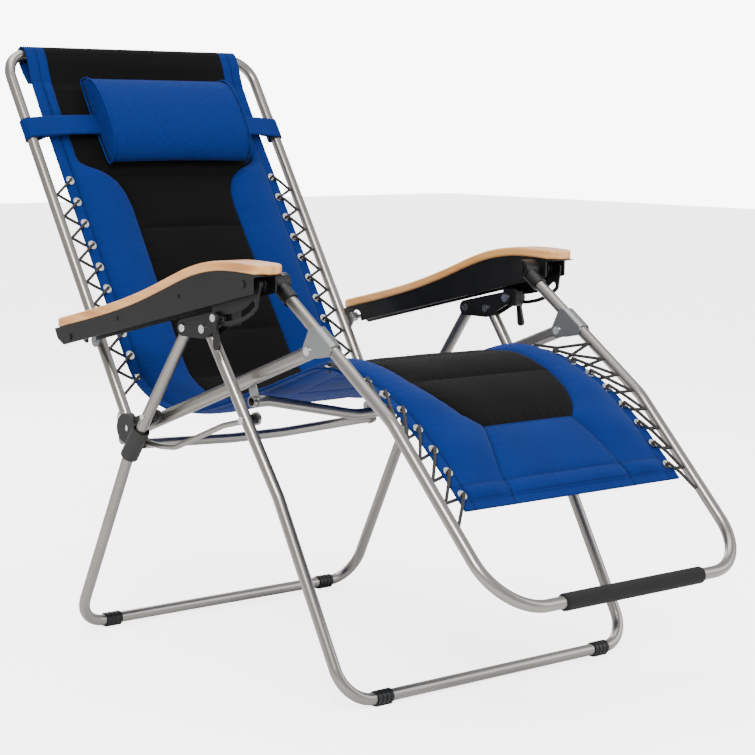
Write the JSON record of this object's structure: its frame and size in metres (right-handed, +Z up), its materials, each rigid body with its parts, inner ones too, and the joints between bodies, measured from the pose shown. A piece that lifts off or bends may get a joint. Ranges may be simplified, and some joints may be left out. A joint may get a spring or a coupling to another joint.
{
  "type": "zero gravity recliner",
  "caption": "Folding zero gravity recliner: laced padded sling on a steel frame, with armrests and a legrest that move as the back reclines.",
  "frame": {"origin": "on the floor, under the middle of the chair's box, midway between the side frames", "axes": "+Z up, the sitter faces -Y, +X is the sitter's left hand"},
  "size_m": [0.738, 1.34, 1.0475],
  "materials": {
    "tube_steel": "satin silver grey powder coat",
    "plate_steel": "zinc plated, dull",
    "rivet_steel": "polished rivet heads",
    "black_plastic": "matte black moulding",
    "grey_plastic": "matte dark grey moulding",
    "foam_grip": "soft black sleeve",
    "arm_wood": "clear lacquered light wood",
    "sling_fabric": "blue and black woven polyester, padded",
    "eyelet_metal": "nickel",
    "lace_elastic": "braided black elastic"
  },
  "bodies": {
    "base": {"rear_leg_frame": "tube_steel", "rear_feet": "black_plastic", "leg_bracket_left": "black_plastic", "leg_bracket_right": "black_plastic", "clamp_block_left": "black_plastic", "clamp_block_right": "black_plastic", "leg_rivets": "rivet_steel", "lock_bolts": "rivet_steel", "seat_knuckle_left": "grey_plastic", "seat_knuckle_right": "grey_plastic", "knuckle_rivets": "rivet_steel", "leg_sleeve_left": "grey_plastic", "leg_sleeve_right": "grey_plastic"},
    "front_legs": {"front_leg_frame": "tube_steel", "front_feet": "black_plastic", "front_leg_pins": "rivet_steel", "strut_pins": "rivet_steel", "strut_bushings": "black_plastic"},
    "strut_left": {"strut_left": "tube_steel"},
    "strut_right": {"strut_right": "tube_steel"},
    "seat_frame": {"seat_rail_left": "tube_steel", "seat_rail_right": "tube_steel", "seat_cross_tube_front": "tube_steel", "seat_cross_tube_rear": "tube_steel", "cross_tube_clamps": "plate_steel", "hinge_plate_left": "plate_steel", "hinge_plate_right": "plate_steel", "seat_pivot_pins": "rivet_steel", "seat_sling": "sling_fabric"},
    "back_frame": {"back_tube": "tube_steel", "back_hinge_pins": "rivet_steel", "arm_pivot_ears": "plate_steel", "back_sling": "sling_fabric", "back_grommets": "eyelet_metal", "back_lace_left": "lace_elastic", "back_lace_right": "lace_elastic"},
    "headrest": {"headrest_pillow": "sling_fabric", "headrest_strap": "sling_fabric"},
    "legrest_frame": {"legrest_tube": "tube_steel", "legrest_bracket_left": "plate_steel", "legrest_bracket_right": "plate_steel", "legrest_rivets": "rivet_steel", "legrest_end_cap_left": "black_plastic", "legrest_end_cap_right": "black_plastic", "arm_front_axles": "black_plastic", "foot_bar_sleeve": "foam_grip", "legrest_sling": "sling_fabric", "legrest_grommets": "eyelet_metal", "legrest_lace_left": "lace_elastic", "legrest_lace_right": "lace_elastic"},
    "arm_left": {"arm_top_left": "arm_wood", "arm_shell_left": "black_plastic", "lock_track_left": "black_plastic", "arm_rivets_left": "black_plastic"},
    "arm_right": {"arm_top_right": "arm_wood", "arm_shell_right": "black_plastic", "lock_track_right": "black_plastic", "arm_rivets_right": "black_plastic"},
    "lock_lever_left": {"lock_lever_left": "black_plastic"},
    "lock_lever_right": {"lock_lever_right": "black_plastic"}
  },
  "joints": [
    {"name": "recline", "type": "hinge", "parent": "base", "child": "seat_frame", "pos_m": [0, 0.238, 0.382], "axis": [-1, 0, 0], "range_deg": [0, 12]},
    {"name": "back_hinge", "type": "hinge", "parent": "seat_frame", "child": "back_frame", "pos_m": [0, 0.273, 0.396], "axis": [-1, 0, 0], "range_deg": [0, 31]},
    {"name": "legrest_hinge", "type": "hinge", "parent": "seat_frame", "child": "legrest_frame", "pos_m": [0, -0.224, 0.556], "axis": [-1, 0, 0], "range_deg": [0, 46]},
    {"name": "arm_hinge_left", "type": "hinge", "parent": "legrest_frame", "child": "arm_left", "pos_m": [0, -0.136, 0.66], "axis": [-1, 0, 0], "range_deg": [-50, 0]},
    {"name": "arm_hinge_right", "type": "hinge", "parent": "legrest_frame", "child": "arm_right", "pos_m": [0, -0.136, 0.66], "axis": [-1, 0, 0], "range_deg": [-50, 0]},
    {"name": "leg_fold", "type": "hinge", "parent": "base", "child": "front_legs", "pos_m": [0, -0.008, 0.577], "axis": [1, 0, 0], "range_deg": [0, 40]},
    {"name": "strut_fold_left", "type": "hinge", "parent": "front_legs", "child": "strut_left", "pos_m": [0, -0.107, 0.436], "axis": [-1, 0, 0], "range_deg": [0, 57]},
    {"name": "strut_fold_right", "type": "hinge", "parent": "front_legs", "child": "strut_right", "pos_m": [0, -0.107, 0.436], "axis": [-1, 0, 0], "range_deg": [0, 57]},
    {"name": "lever_left", "type": "hinge", "parent": "base", "child": "lock_lever_left", "pos_m": [0, -0.058, 0.6], "axis": [-1, 0, 0], "range_deg": [0, 80]},
    {"name": "lever_right", "type": "hinge", "parent": "base", "child": "lock_lever_right", "pos_m": [0, -0.058, 0.6], "axis": [-1, 0, 0], "range_deg": [0, 80]},
    {"name": "headrest_slide", "type": "slide", "parent": "back_frame", "child": "headrest", "axis": [0, 0.5145, 0.8575], "range_m": [-0.06, 0.03]}
  ],
  "couplings": [
    {"joint": "back_hinge", "follows": "recline", "ratio": 2.55},
    {"joint": "legrest_hinge", "follows": "recline", "ratio": 3.78},
    {"joint": "arm_hinge_left", "follows": "recline", "ratio": -4.16},
    {"joint": "arm_hinge_right", "follows": "recline", "ratio": -4.16},
    {"joint": "strut_fold_left", "follows": "leg_fold", "ratio": 1.409},
    {"joint": "strut_fold_right", "follows": "leg_fold", "ratio": 1.409}
  ]
}
